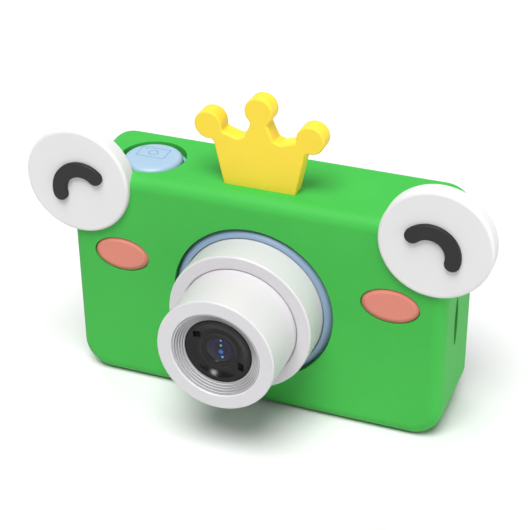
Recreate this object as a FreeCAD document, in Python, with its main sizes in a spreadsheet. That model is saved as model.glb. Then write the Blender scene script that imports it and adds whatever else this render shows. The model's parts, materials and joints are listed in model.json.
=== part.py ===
# Kids' digital camera in a soft animal-face sleeve, built up from its separate pieces.
#
# Row frame: +X is to the right seen from the front, -Y points out of the lens and +Z is up.
# The origin is under the middle of the overall box, on the surface that the camera stands on.
# Inside this file a place is given from the lens axis at the sleeve's front face: x to the
# right, depth backwards and rise upwards.  All lengths are millimetres.
import FreeCAD, Part
import Sketcher
import math
import os
import re

SIZES = {
    # silicone sleeve
    "sleeve_width": 86.0,
    "sleeve_height": 52.2,
    "sleeve_depth": 22.4,
    "sleeve_corner": 6.9,
    "sleeve_wall": 2.0,
    "sleeve_front_round": 3.0,
    "sleeve_back_round": 1.5,
    "lip_thick": 1.6,
    "lip_reach": 4.0,
    "lip_corner": 4.0,
    # eyes, cheeks and crown on the sleeve
    "eye_x": 40.2,
    "eye_rise": 23.4,
    "eye_radius": 12.2,
    "eye_proud": 1.2,
    "eye_thick": 4.2,
    "eye_round": 0.7,
    "eye_skin": 0.6,
    "arc_x": 39.03,
    "arc_rise": 21.5,
    "arc_radius": 5.17,
    "arc_half_width": 1.68,
    "arc_proud": 0.85,
    "arc_sunk": 0.8,
    "arc_round": 0.3,
    "arc_low_angle": -13.3,
    "arc_high_angle": 132.7,
    "cheek_x": 31.0,
    "cheek_rise": 6.4,
    "cheek_half_width": 6.4,
    "cheek_half_height": 4.05,
    "cheek_thick": 1.2,
    "cheek_gap": 0.15,
    "cheek_round": 0.4,
    "crown_front": 4.7,
    "crown_thick": 4.1,
    "crown_base_half": 8.1,
    "crown_ball_radius": 3.1,
    "crown_side_x": 11.35,
    "crown_side_rise": 13.0,
    "crown_middle_rise": 17.6,
    "crown_waist_x": 10.1,
    "crown_waist_rise": 9.2,
    "crown_valley_x": 4.8,
    "crown_valley_rise": 10.9,
    "crown_neck_half": 1.9,
    "crown_neck_rise": 14.6,
    "crown_prong_half": 3.3,
    "crown_prong_rise": 11.5,
    "crown_round": 0.4,
    "crown_blend": 0.7,
    "crown_sunk": 1.3,
    # case
    "shell_wall": 1.6,
    "cover_thick": 3.0,
    "case_corner": 4.9,
    "fit_gap": 0.15,
    # lens
    "lens_reach": 21.2,
    "lens_hole_radius": 18.55,
    "trim_inner_radius": 16.55,
    "trim_outer_radius": 18.45,
    "trim_front": -0.2,
    "trim_slope": 1.5,
    "trim_edge": 0.25,
    "outer_barrel_radius": 16.3,
    "outer_barrel_front": 8.0,
    "inner_barrel_radius": 13.1,
    "inner_barrel_bore": 11.3,
    "barrel_flange_radius": 14.0,
    "barrel_flange_front": 1.0,
    "barrel_round": 0.4,
    "lens_mouth_radius": 9.85,
    "mouth_round": 0.3,
    "lens_plate_radius": 7.65,
    "lens_plate_sunk": 1.9,
    "lens_plate_thick": 1.2,
    "lens_ledge_radius": 6.5,
    "lens_ledge_thick": 1.0,
    "baffle_steps": 5,
    "baffle_groove": 0.16,
    "baffle_groove_deep": 0.25,
    "lens_glass_radius": 3.0,
    "lens_glass_bulge": 0.9,
    "lens_glass_thick": 2.0,
    "lens_gap": 3.0,
    "plate_window_width": 1.7,
    "plate_window_x": 4.9,
    "plate_window_rise": 3.05,
    "lens_cell_radius": 4.0,
    "lens_cell_length": 6.0,
    "holder_width": 9.0,
    "sensor_post_x": 8.4,
    "sensor_post_radius": 1.6,
    "sensor_board_depth": -10.0,
    "sensor_board_thick": 0.8,
    "sensor_thick": 0.8,
    "sensor_width": 5.0,
    "sensor_height": 4.0,
    "holder_hollow_width": 6.0,
    "holder_hollow_deep": 1.6,
    "holder_setback": 2.0,
    "barrel_screw_circle": 15.15,
    "barrel_screw_bite": 5.0,
    "sensor_screw_length": 4.5,
    # shutter button
    "shutter_x": -27.3,
    "shutter_depth": 10.7,
    "shutter_radius": 6.62,
    "shutter_hole_radius": 6.9,
    "shutter_sleeve_radius": 7.5,
    "shutter_top_proud": 0.25,
    "shutter_round": 1.3,
    "shutter_stem_depth": 9.0,
    "shutter_flange_width": 15.8,
    "shutter_flange_shift": 0.7,
    "shutter_flange_deep": 8.0,
    "shutter_flange_high": 1.2,
    "shutter_stem_rise": 20.2,
    "shutter_switch_rise": 13.4,
    "shutter_switch_deep": 4.0,
    "shutter_switch_high": 4.0,
    "shutter_pin_long": 4.0,
    # back of the camera
    "keys_x": -24.0,
    "keys_rise": -2.1,
    "keys_reach": 7.6,
    "top_key_x": 6.2,
    "top_key_rise": 15.0,
    "key_proud": 1.2,
    "key_round": 0.4,
    "key_flange": 0.7,
    "key_stem_radius": 1.2,
    "key_flange_thick": 1.1,
    "arrow_key_radius": 2.7,
    "ok_key_radius": 3.4,
    "top_key_radius": 2.4,
    "display_x": 12.0,
    "window_width": 44.8,
    "window_height": 33.6,
    "window_thick": 1.0,
    "window_corner": 2.0,
    "panel_width": 47.8,
    "panel_height": 34.6,
    "panel_thick": 2.05,
    "active_width": 40.8,
    "active_height": 30.6,
    "window_margin": 0.7,
    "speaker_width": 15.0,
    "speaker_height": 7.0,
    "speaker_thick": 3.0,
    "speaker_rise": -18.4,
    "speaker_hole_rise": -17.4,
    "speaker_hole_radius": 0.6,
    "speaker_hole_step": 2.2,
    "speaker_holes": 5,
    "microphone_x": -34.3,
    "microphone_rise": 7.4,
    "microphone_radius": 2.0,
    "microphone_thick": 1.5,
    "light_radius": 0.9,
    "light_length": 2.9,
    # boards and electronics
    "board_front": 11.0,
    "board_thick": 1.2,
    "board_width": 76.0,
    "board_height": 42.0,
    "switch_size": 6.0,
    "switch_high": 3.5,
    "switch_bore_deep": 2.2,
    "switch_top": 5.0,
    "plunger_radius": 1.2,
    "plunger_length": 3.0,
    "chip_size": 10.0,
    "chip_thick": 1.0,
    "chip_x": -4.0,
    "chip_rise": 9.0,
    "flex_thick": 0.2,
    "sensor_flex_width": 6.0,
    "sensor_flex_rise": -2.0,
    "sensor_flex_bend": 2.8,
    "sensor_flex_end": -9.5,
    "display_flex_width": 9.0,
    "display_flex_low": -18.0,
    "display_flex_end": -13.0,
    "board_notch_radius": 3.0,
    "board_dip_room": 1.0,
    "board_post_radius": 2.2,
    "board_screw_left": -10.5,
    "board_screw_low_left": -18.0,
    "board_screw_right": 18.5,
    "board_screw_rise": 18.5,
    "board_screw_length": 5.0,
    "case_screw_x": 37.4,
    "case_screw_rise": 20.5,
    "case_boss_radius": 2.7,
    "case_screw_length": 8.0,
    "boss_drill_deep": 6.5,
    "screw_radius": 0.95,
    "screw_head_radius": 1.7,
    "screw_head_high": 1.1,
    "card_slot_depth": 9.7,
    "card_slot_rise": -0.45,
    "card_slit_half_length": 6.05,
    "card_slit_half_width": 1.2,
    "card_hole_corner": 0.5,
    "card_sunk": 0.3,
    "card_step": 1.2,
    "card_step_long": 5.2,
    "card_play": 0.1,
    "socket_length": 14.2,
    "socket_height": 14.0,
    "card_length": 15.0,
    "card_width": 11.0,
    "card_thick": 0.8,
    "usb_rise": -2.1,
    "usb_width": 8.94,
    "usb_high": 3.26,
    "usb_length": 7.35,
    "usb_corner": 1.5,
    "usb_wall": 0.3,
    "usb_tongue_width": 6.7,
    "usb_tongue_thick": 0.7,
    "usb_tongue_length": 4.6,
    "usb_sunk": 0.3,
    "usb_overmould_corner": 2.6,
    "usb_overmould_width": 12.6,
    "usb_overmould_high": 6.8,
    "battery_width": 17.0,
    "battery_height": 34.0,
    "battery_thick": 5.0,
    "battery_x": 29.7,
    "battery_round": 1.0,
    "lead_radius": 0.5,
    "lead_spacing": 2.0,
    "lead_climb": 2.6,
    "lead_bend": 1.6,
}

TOUCH = 0.01
SIDES = {"-1": "left", "1": "right"}
FRONT = "(lens_reach - sleeve_depth) / 2"
MIDDLE = "sleeve_height / 2"
CASE_WIDTH = "(sleeve_width - 2 * sleeve_wall)"
CASE_HEIGHT = "(sleeve_height - 2 * sleeve_wall)"
CASE_BACK = "(sleeve_depth - lip_thick)"
COVER_FRONT = "(sleeve_depth - lip_thick - cover_thick)"
COVER_INSIDE = "(sleeve_depth - lip_thick - shell_wall)"
CASE_INSIDE = "(sleeve_wall + shell_wall)"
BOARD_BACK = "(board_front + board_thick)"
PLATE_FRONT = "(lens_plate_sunk - lens_reach)"
CELL_FRONT = "(lens_plate_sunk - lens_reach + lens_plate_thick)"

CORNERS = [("-1", "-1"), ("-1", "1"), ("1", "-1"), ("1", "1")]
BARREL_SCREWS = [(f"barrel_screw_circle * cos({angle} * 1deg)", f"barrel_screw_circle * sin({angle} * 1deg)")
                 for angle in (90, 210, 330)]
BOARD_SCREWS = [("board_screw_left", "board_screw_rise"), ("board_screw_low_left", "-board_screw_rise"),
                ("board_screw_right", "board_screw_rise"), ("board_screw_right", "-board_screw_rise")]
KEYS = {
    "power": ("keys_x - top_key_x", "top_key_rise", "top_key_radius"),
    "menu": ("keys_x + top_key_x", "top_key_rise", "top_key_radius"),
    "up": ("keys_x", "keys_rise + keys_reach", "arrow_key_radius"),
    "down": ("keys_x", "keys_rise - keys_reach", "arrow_key_radius"),
    "left": ("keys_x + keys_reach", "keys_rise", "arrow_key_radius"),
    "right": ("keys_x - keys_reach", "keys_rise", "arrow_key_radius"),
    "ok": ("keys_x", "keys_rise", "ok_key_radius"),
}

doc = FreeCAD.newDocument("KidsCamera")
sheet = doc.addObject("Spreadsheet::Sheet", "Sizes")
nodes = {}


# ---- document helpers ---------------------------------------------------------------------
def fill_sheet():
    """Write every driving dimension and its alias into the spreadsheet."""
    for row, (alias, number) in enumerate(SIZES.items(), 1):
        sheet.set(f"A{row}", alias)
        sheet.set(f"B{row}", str(number))
        sheet.setAlias(f"B{row}", alias)
    doc.recompute()


def cells(text):
    """Point each alias in an expression at the spreadsheet."""
    return re.sub(r"[a-z][a-z_]+", lambda word: f"Sizes.{word[0]}" if word[0] in SIZES else word[0], text)


def size(text):
    """The number that an expression gives."""
    return float(sheet.evalExpression(text))


def bind(thing, name, text):
    thing.setExpression(name, cells(text))


def place(thing, x, depth, rise):
    """Stand a thing at a place given from the lens axis at the sleeve's front face."""
    bind(thing, "Placement.Base.x", x)
    bind(thing, "Placement.Base.y", f"{FRONT} + {depth}")
    bind(thing, "Placement.Base.z", f"{MIDDLE} + {rise}")


def keep(node, thing):
    """Make a thing one of the camera's named pieces."""
    thing.Label = node
    nodes[node] = thing
    return thing


def block(name, width, deep, high, x, depth, rise):
    """A box centred on x and rise, with its front face at depth."""
    box = doc.addObject("Part::Box", name)
    bind(box, "Length", width)
    bind(box, "Width", deep)
    bind(box, "Height", high)
    place(box, f"{x} - ({width}) / 2", depth, f"{rise} - ({high}) / 2")
    return box


def rod(name, radius, length, x, depth, rise):
    """A cylinder that runs backwards from depth."""
    cylinder = doc.addObject("Part::Cylinder", name)
    bind(cylinder, "Radius", radius)
    bind(cylinder, "Height", length)
    cylinder.Placement = FreeCAD.Placement(FreeCAD.Vector(), FreeCAD.Rotation(FreeCAD.Vector(1, 0, 0), -90))
    place(cylinder, x, depth, rise)
    return cylinder


def post(name, radius, high, x, depth, rise):
    """A cylinder that runs upwards from rise."""
    cylinder = doc.addObject("Part::Cylinder", name)
    bind(cylinder, "Radius", radius)
    bind(cylinder, "Height", high)
    place(cylinder, x, depth, rise)
    return cylinder


def fuse(name, shapes):
    joined = doc.addObject("Part::MultiFuse", name)
    joined.Shapes = shapes
    joined.Refine = True
    return joined


def cut(name, base, tools):
    result = doc.addObject("Part::Cut", name)
    result.Base = base
    result.Tool = tools[0] if len(tools) == 1 else fuse(name + "_tools", tools)
    return result


def group(name, shapes):
    """Separate solids that count as one piece, such as a set of equal screws."""
    compound = doc.addObject("Part::Compound", name)
    compound.Links = shapes
    return compound


def flat_edges(shape, axis, level):
    """Numbers of the edges that lie in the plane where the axis equals the level."""
    found = []
    for number, edge in enumerate(shape.Edges, 1):
        low = getattr(edge.BoundBox, axis + "Min")
        high = getattr(edge.BoundBox, axis + "Max")
        if abs(low - level) < TOUCH and abs(high - level) < TOUCH:
            found.append(number)
    return found


def soften(name, base, radius, axis, level):
    """Round the edges of a solid that lie in one plane."""
    doc.recompute()
    fillet = doc.addObject("Part::Fillet", name)
    fillet.Base = base
    fillet.Edges = [(number, size(radius), size(radius)) for number in flat_edges(base.Shape, axis, size(level))]
    return fillet


def smooth_upright(name, thing, radius):
    """Round the straight edges that run along the lens direction."""
    doc.recompute()
    fillet = doc.addObject("Part::Fillet", name)
    fillet.Base = thing
    chosen = []
    for number, edge in enumerate(thing.Shape.Edges, 1):
        along = edge.Vertexes[-1].Point - edge.Vertexes[0].Point
        if abs(along.x) < TOUCH and abs(along.z) < TOUCH and along.Length > TOUCH:
            chosen.append((number, size(radius), size(radius)))
    fillet.Edges = chosen
    doc.recompute()
    return fillet


# ---- PartDesign helpers -------------------------------------------------------------------
def new_body(name):
    body = doc.addObject("PartDesign::Body", name)
    place(body, "0", "0", "0")
    return body


def new_sketch(body, plane, offset):
    """A sketch on one of the body's own origin planes, moved along the plane's normal."""
    sketch = body.newObject("Sketcher::SketchObject", body.Name + "_sketch")
    support = next(item for item in body.Origin.OriginFeatures if item.Role == plane)
    sketch.AttachmentSupport = (support, [""])
    sketch.MapMode = "FlatFace"
    bind(sketch, "AttachmentOffset.Base.z", offset)
    return sketch


def pin(sketch, edge, end, x, y):
    """Hold one end of an edge at a point."""
    for kind, text in (("DistanceX", x), ("DistanceY", y)):
        number = sketch.addConstraint(Sketcher.Constraint(kind, -1, 1, edge, end, size(text)))
        bind(sketch, f"Constraints[{number}]", text)


def arc_between(start, end, radius):
    """The short arc from start to end; a positive radius turns to the left."""
    chord = end - start
    sagitta = abs(radius) - math.sqrt(max(radius ** 2 - (chord.Length / 2) ** 2, 0.0))
    side = FreeCAD.Vector(chord.y, -chord.x, 0).normalize() * math.copysign(sagitta, radius)
    return Part.ArcOfCircle(start, (start + end) / 2 + side, end)


def outline(sketch, vertices):
    """A closed loop through vertices (x, y) or (x, y, radius of the arc that starts there)."""
    points = [FreeCAD.Vector(size(vertex[0]), size(vertex[1]), 0) for vertex in vertices]
    ends = []
    for number, vertex in enumerate(vertices):
        start = points[number]
        finish = points[(number + 1) % len(points)]
        is_arc = len(vertex) == 3
        curve = arc_between(start, finish, size(vertex[2])) if is_arc else Part.LineSegment(start, finish)
        edge = sketch.addGeometry(curve, False)
        first = 1 if (sketch.getPoint(edge, 1) - start).Length < TOUCH else 2
        ends.append((edge, first, 3 - first))
        if is_arc:
            radius = sketch.addConstraint(Sketcher.Constraint("Radius", edge, abs(size(vertex[2]))))
            bind(sketch, f"Constraints[{radius}]", f"abs({vertex[2]})")
    for number, (edge, first, _) in enumerate(ends):
        before, _, before_last = ends[number - 1]
        sketch.addConstraint(Sketcher.Constraint("Coincident", edge, first, before, before_last))
        pin(sketch, edge, first, *vertices[number][:2])


def circle(sketch, radius, x="0", y="0"):
    """A circle whose centre and radius follow the sheet."""
    shape = Part.Circle(FreeCAD.Vector(size(x), size(y), 0), FreeCAD.Vector(0, 0, 1), size(radius))
    edge = sketch.addGeometry(shape, False)
    number = sketch.addConstraint(Sketcher.Constraint("Radius", edge, size(radius)))
    bind(sketch, f"Constraints[{number}]", radius)
    pin(sketch, edge, 3, x, y)


def ellipse(sketch, half_width, half_height, x, y):
    """An ellipse, whose longer axis may lie either way."""
    centre = FreeCAD.Vector(size(x), size(y), 0)
    axes = [FreeCAD.Vector(size(half_width), 0, 0), FreeCAD.Vector(0, size(half_height), 0)]
    short, long = sorted(axes, key=lambda axis: axis.Length)
    oval = Part.Ellipse(centre + long, centre + short, centre)
    edge = sketch.addGeometry(oval, False)
    pin(sketch, edge, 3, x, y)


def rounded_rectangle(sketch, width, height, corner, x="0", y="0"):
    """A rectangle with round corners about the point (x, y)."""
    corner = f"({corner})"
    right, left = f"{x} + ({width}) / 2", f"{x} - ({width}) / 2"
    top, bottom = f"{y} + ({height}) / 2", f"{y} - ({height}) / 2"
    outline(sketch, [
        (f"{left} + {corner}", bottom), (f"{right} - {corner}", bottom, corner),
        (right, f"{bottom} + {corner}"), (right, f"{top} - {corner}", corner),
        (f"{right} - {corner}", top), (f"{left} + {corner}", top, corner),
        (left, f"{top} - {corner}"), (left, f"{bottom} + {corner}", corner),
    ])


def plate(name, plane, offset, thick, reverse, draw, *sizes):
    """A body padded from a plane, with the outline that draw makes."""
    body = new_body(name)
    sketch = new_sketch(body, plane, offset)
    draw(sketch, *sizes)
    pad = body.newObject("PartDesign::Pad", name + "_pad")
    pad.Profile = sketch
    pad.Reversed = reverse
    bind(pad, "Length", thick)
    doc.recompute()
    return body


def face_plate(name, depth, thick, draw, *sizes):
    """A plate that faces forwards and runs backwards from depth."""
    return plate(name, "XZ_Plane", f"-({depth})", thick, True, draw, *sizes)


def pocket(body, plane, offset, deep, reverse, draw, *sizes):
    """Cut a recess of the drawn outline, from a plane into the body."""
    before = body.Shape.Volume
    sketch = new_sketch(body, plane, offset)
    draw(sketch, *sizes)
    recess = body.newObject("PartDesign::Pocket", body.Name + "_pocket")
    recess.Profile = sketch
    recess.Reversed = reverse
    bind(recess, "Length", deep)
    doc.recompute()
    if not body.Shape.Volume < before:
        raise ValueError(f"{body.Name}: a pocket removes nothing")


def round_rim(body, radius, axis, level):
    """Round the edges of a body's tip that lie in one plane of the row frame."""
    tip = body.Tip
    names = [f"Edge{number}" for number in flat_edges(body.Shape, axis, size(level))]
    fillet = body.newObject("PartDesign::Fillet", body.Name + "_round")
    fillet.Base = (tip, names)
    bind(fillet, "Radius", radius)
    doc.recompute()


def turned(name, profile, x="0", rise="0"):
    """A solid of revolution about the lens direction; profile gives (radius, depth) vertices."""
    body = new_body(name)
    place(body, x, "0", rise)
    sketch = new_sketch(body, "XY_Plane", "0")
    outline(sketch, profile)
    spin = body.newObject("PartDesign::Revolution", name + "_spin")
    spin.Profile = sketch
    spin.ReferenceAxis = (sketch, ["V_Axis"])
    spin.Angle = 360.0
    doc.recompute()
    return body


# ---- sleeve and the face on it ------------------------------------------------------------
def eye_arc(side, name):
    """A raised black arch on one eye; the two sides mirror each other."""
    inner, outer = "(arc_radius - arc_half_width)", "(arc_radius + arc_half_width)"

    def point(radius, angle, cap_angle="0", cap_radius="0"):
        across = f"({radius}) * cos({angle} * 1deg) + {cap_radius} * cos({cap_angle} * 1deg)"
        up = f"({radius}) * sin({angle} * 1deg) + {cap_radius} * sin({cap_angle} * 1deg)"
        return f"{side} * (arc_x + {across})", f"arc_rise + {up}"

    low, high = "arc_low_angle", "arc_high_angle"
    middle = "((arc_low_angle + arc_high_angle) / 2)"
    vertices = [
        (*point(outer, low), f"{side} * {outer}"),
        (*point(outer, middle), f"{side} * {outer}"),
        (*point(outer, high), f"{side} * arc_half_width"),
        (*point("arc_radius", high, f"({high} + 90)", "arc_half_width"), f"{side} * arc_half_width"),
        (*point(inner, high), f"-({side}) * {inner}"),
        (*point(inner, middle), f"-({side}) * {inner}"),
        (*point(inner, low), f"{side} * arc_half_width"),
        (*point("arc_radius", low, f"({low} - 90)", "arc_half_width"), f"{side} * arc_half_width"),
    ]
    body = face_plate(name + "_body", "-(eye_proud + arc_proud)", "arc_proud + arc_sunk", outline, vertices)
    round_rim(body, "arc_round", "Y", f"{FRONT} - eye_proud - arc_proud")
    return keep(name, body)


def eye(side, name, arc, relief):
    """A white disc that fills a notch in the sleeve's corner, over a thin skin on the case."""
    disc = face_plate(name + "_disc", "-eye_proud", "eye_thick", circle, "eye_radius",
                      f"{side} * eye_x", "eye_rise")
    round_rim(disc, "eye_round", "Y", f"{FRONT} - eye_proud")
    round_rim(disc, "eye_round", "Y", f"{FRONT} - eye_proud + eye_thick")
    return keep(name, cut(name + "_cut", disc, [relief, arc]))


def cheek(side, name):
    """An oval blush spot that lies in a shallow recess."""
    body = face_plate(name + "_body", "0", "cheek_thick", ellipse, "cheek_half_width",
                      "cheek_half_height", f"{side} * cheek_x", "cheek_rise")
    round_rim(body, "cheek_round", "Y", FRONT)
    return keep(name, body)


def crown():
    """A flat plate with three balls, whose foot is sunk in the top of the sleeve."""
    half = [
        ("crown_base_half", f"{MIDDLE} - crown_sunk"),
        ("crown_base_half", MIDDLE),
        ("crown_waist_x", f"{MIDDLE} + crown_waist_rise"),
        ("crown_side_x", f"{MIDDLE} + crown_side_rise - crown_ball_radius / 2"),
        ("crown_side_x", f"{MIDDLE} + crown_side_rise"),
        ("crown_valley_x", f"{MIDDLE} + crown_valley_rise"),
        ("crown_prong_half", f"{MIDDLE} + crown_prong_rise"),
        ("crown_neck_half", f"{MIDDLE} + crown_neck_rise"),
        ("crown_neck_half", f"{MIDDLE} + crown_middle_rise"),
    ]
    mirrored = [(f"-({x})", rise) for x, rise in reversed(half)]
    plate = face_plate("crown_plate", "crown_front", "crown_thick", outline, half + mirrored)
    places = [("-crown_side_x", "crown_side_rise"), ("0", "crown_middle_rise"),
              ("crown_side_x", "crown_side_rise")]
    balls = [rod(f"crown_ball_{number}", "crown_ball_radius", "crown_thick", x, "crown_front", f"{MIDDLE} + {rise}")
             for number, (x, rise) in enumerate(places)]
    flat = fuse("crown_flat", [plate] + balls)
    smooth = smooth_upright("crown_smooth", flat, "crown_blend")
    front = soften("crown_front_round", smooth, "crown_round", "Y", f"{FRONT} + crown_front")
    back = soften("crown_back_round", front, "crown_round", "Y", f"{FRONT} + crown_front + crown_thick")
    return keep("crown", back)


def sleeve(eyes):
    """A stretchy sleeve round the case, open for the lens, the button, both sockets and the back."""
    body = face_plate("sleeve_body", "0", "sleeve_depth", rounded_rectangle,
                      "sleeve_width", "sleeve_height", "sleeve_corner")
    round_rim(body, "sleeve_front_round", "Y", FRONT)
    round_rim(body, "sleeve_back_round", "Y", f"{FRONT} + sleeve_depth")
    pocket(body, "XZ_Plane", "-sleeve_wall", f"{CASE_BACK} - sleeve_wall", False, rounded_rectangle,
           CASE_WIDTH, CASE_HEIGHT, "case_corner")
    pocket(body, "XZ_Plane", f"-{CASE_BACK}", "lip_thick", False, rounded_rectangle,
           f"{CASE_WIDTH} - 2 * lip_reach", f"{CASE_HEIGHT} - 2 * lip_reach", "lip_corner")
    pocket(body, "XZ_Plane", "0", "sleeve_wall", False, circle, "lens_hole_radius")
    for side in ("-1", "1"):
        pocket(body, "XZ_Plane", "0", "cheek_thick", False, ellipse, "cheek_half_width + cheek_gap",
               "cheek_half_height + cheek_gap", f"{side} * cheek_x", "cheek_rise")
    pocket(body, "XY_Plane", MIDDLE, "sleeve_wall", False, circle, "shutter_sleeve_radius",
           "shutter_x", "shutter_depth")
    pocket(body, "XY_Plane", MIDDLE, "crown_sunk", False, rounded_rectangle, "2 * crown_base_half",
           "crown_thick", "crown_round", "0", "crown_front + crown_thick / 2")
    pocket(body, "YZ_Plane", "sleeve_width / 2", "sleeve_wall", False, ellipse, "card_slit_half_width",
           "card_slit_half_length", "card_slot_depth", "card_slot_rise")
    pocket(body, "YZ_Plane", "-sleeve_width / 2", "sleeve_wall", True, rounded_rectangle,
           "usb_overmould_high", "usb_overmould_width", "usb_overmould_corner",
           "board_front - usb_high / 2", "usb_rise")
    return keep("silicone_sleeve", cut("sleeve_cut", body, eyes))


# ---- case ---------------------------------------------------------------------------------
def screw(name, x, rise, head_depth, length):
    """A pan-head screw driven forwards, whose head starts at head_depth and points backwards."""
    shank = rod(name + "_shank", "screw_radius", length, x, f"{head_depth} - {length}", rise)
    head = rod(name + "_head", "screw_head_radius", "screw_head_high", x, head_depth, rise)
    dome = soften(name + "_dome", head, "screw_head_high / 2", "Y", f"{FRONT} + {head_depth} + screw_head_high")
    slot = block(name + "_slot", "screw_head_radius", "screw_head_high / 2", "screw_radius / 2", x,
                 f"{head_depth} + screw_head_high / 2", rise)
    cross = block(name + "_cross", "screw_radius / 2", "screw_head_high / 2", "screw_head_radius", x,
                  f"{head_depth} + screw_head_high / 2", rise)
    return cut(name, fuse(name + "_blank", [shank, dome]), [slot, cross])


def front_shell():
    """The deep front half of the case, with its lens seat, corner bosses and board posts."""
    body = face_plate("front_shell_body", "sleeve_wall", f"{COVER_FRONT} - sleeve_wall", rounded_rectangle,
                      CASE_WIDTH, CASE_HEIGHT, "case_corner")
    pocket(body, "XZ_Plane", "-(sleeve_wall + shell_wall)", f"{COVER_FRONT} - sleeve_wall - shell_wall", False,
           rounded_rectangle, f"{CASE_WIDTH} - 2 * shell_wall", f"{CASE_HEIGHT} - 2 * shell_wall",
           "case_corner - shell_wall")
    pocket(body, "XZ_Plane", "-sleeve_wall", "shell_wall", False, circle, "inner_barrel_bore")
    pocket(body, "XY_Plane", f"{CASE_HEIGHT} / 2", "shell_wall", False, circle, "shutter_hole_radius",
           "shutter_x", "shutter_depth")
    pocket(body, "YZ_Plane", f"{CASE_WIDTH} / 2", "shell_wall", False, rounded_rectangle,
           "card_thick + 2 * fit_gap", "card_width + 2 * fit_gap", "card_hole_corner",
           "card_slot_depth", "card_slot_rise")
    pocket(body, "YZ_Plane", f"-{CASE_WIDTH} / 2", "shell_wall", True, rounded_rectangle,
           "usb_high + 2 * fit_gap", "usb_width + 2 * fit_gap", "usb_corner",
           "board_front - usb_high / 2", "usb_rise")
    bosses = [rod(f"front_boss_{number}", "case_boss_radius", f"{COVER_FRONT} - sleeve_wall - shell_wall",
                  f"{x} * case_screw_x", CASE_INSIDE, f"{rise} * case_screw_rise")
              for number, (x, rise) in enumerate(CORNERS)]
    posts = [rod(f"board_post_{number}", "board_post_radius", "board_front - sleeve_wall - shell_wall",
                 x, "sleeve_wall + shell_wall", rise) for number, (x, rise) in enumerate(BOARD_SCREWS)]
    drills = [rod(f"boss_drill_{number}", "screw_radius", "boss_drill_deep", f"{x} * case_screw_x",
                  f"{COVER_FRONT} - boss_drill_deep", f"{rise} * case_screw_rise")
              for number, (x, rise) in enumerate(CORNERS)]
    drills += [rod(f"post_drill_{number}", "screw_radius", "board_screw_length", x,
                   "board_front - board_screw_length + board_thick", rise)
               for number, (x, rise) in enumerate(BOARD_SCREWS)]
    drills += [rod(f"barrel_drill_{number}", "screw_radius", "shell_wall", x, "sleeve_wall", rise)
               for number, (x, rise) in enumerate(BARREL_SCREWS)]
    return keep("front_shell", cut("front_shell_cut", fuse("front_shell_solid", [body] + bosses + posts), drills))


def rear_shell():
    """The back cover: window seat, key holes, speaker holes, screw wells and a locating rib."""
    body = face_plate("rear_shell_body", COVER_FRONT, "cover_thick", rounded_rectangle,
                      CASE_WIDTH, CASE_HEIGHT, "case_corner")
    pocket(body, "XZ_Plane", f"-{COVER_FRONT}", "cover_thick - shell_wall", False, rounded_rectangle,
           f"{CASE_WIDTH} - 2 * shell_wall", f"{CASE_HEIGHT} - 2 * shell_wall", "case_corner - shell_wall")
    pocket(body, "XZ_Plane", f"-({CASE_BACK} - window_thick)", "window_thick", False, rounded_rectangle,
           "window_width + 2 * fit_gap", "window_height + 2 * fit_gap", "window_corner", "display_x", "0")
    pocket(body, "XZ_Plane", f"-{COVER_INSIDE}", "shell_wall", False, rounded_rectangle,
           "active_width + window_margin", "active_height + window_margin", "window_corner / 2", "display_x", "0")
    bosses = [rod(f"rear_boss_{number}", "case_boss_radius", "cover_thick", f"{x} * case_screw_x",
                  COVER_FRONT, f"{rise} * case_screw_rise") for number, (x, rise) in enumerate(CORNERS)]
    cuts = []
    for number, (x, rise) in enumerate(CORNERS):
        cuts.append(rod(f"rear_drill_{number}", "screw_radius + fit_gap", "cover_thick",
                        f"{x} * case_screw_x", COVER_FRONT, f"{rise} * case_screw_rise"))
        cuts.append(rod(f"rear_well_{number}", "screw_head_radius + fit_gap", "screw_head_high",
                        f"{x} * case_screw_x", f"{CASE_BACK} - screw_head_high", f"{rise} * case_screw_rise"))
    for name, (x, rise, radius) in KEYS.items():
        cuts.append(rod(name + "_hole", f"{radius} + fit_gap", "shell_wall", x, COVER_INSIDE, rise))
    cuts += [rod(f"speaker_hole_{number}", "speaker_hole_radius", "shell_wall",
                 f"keys_x + ({number} - (speaker_holes - 1) / 2) * speaker_hole_step", COVER_INSIDE,
                 "speaker_hole_rise")
             for number in range(int(SIZES["speaker_holes"]))]
    cuts.append(rod("microphone_hole", "speaker_hole_radius", "shell_wall", "microphone_x", COVER_INSIDE,
                    "microphone_rise"))
    cuts.append(rod("light_hole", "light_radius", "shell_wall", "keys_x", COVER_INSIDE, "top_key_rise"))
    return keep("rear_shell", cut("rear_shell_cut", fuse("rear_shell_solid", [body] + bosses), cuts))


def case_screws():
    """Four screws under the sleeve's lip hold the two halves of the case together."""
    screws = [screw(f"case_screw_{number}", f"{x} * case_screw_x", f"{rise} * case_screw_rise",
                    f"{CASE_BACK} - screw_head_high", "case_screw_length")
              for number, (x, rise) in enumerate(CORNERS)]
    return keep("case_screws", group("case_screw_set", screws))


# ---- lens ---------------------------------------------------------------------------------
def trim_ring():
    """A blue ring round the root of the lens, which slopes back to the sleeve and has a round inner edge."""
    profile = [
        ("trim_inner_radius", "sleeve_wall"), ("trim_outer_radius", "sleeve_wall"),
        ("trim_outer_radius", "trim_front + trim_slope"),
        ("trim_inner_radius + trim_edge", "trim_front", "-trim_edge"),
        ("trim_inner_radius", "trim_front + trim_edge"),
    ]
    return keep("lens_trim_ring", turned("trim_ring_body", profile))


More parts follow.
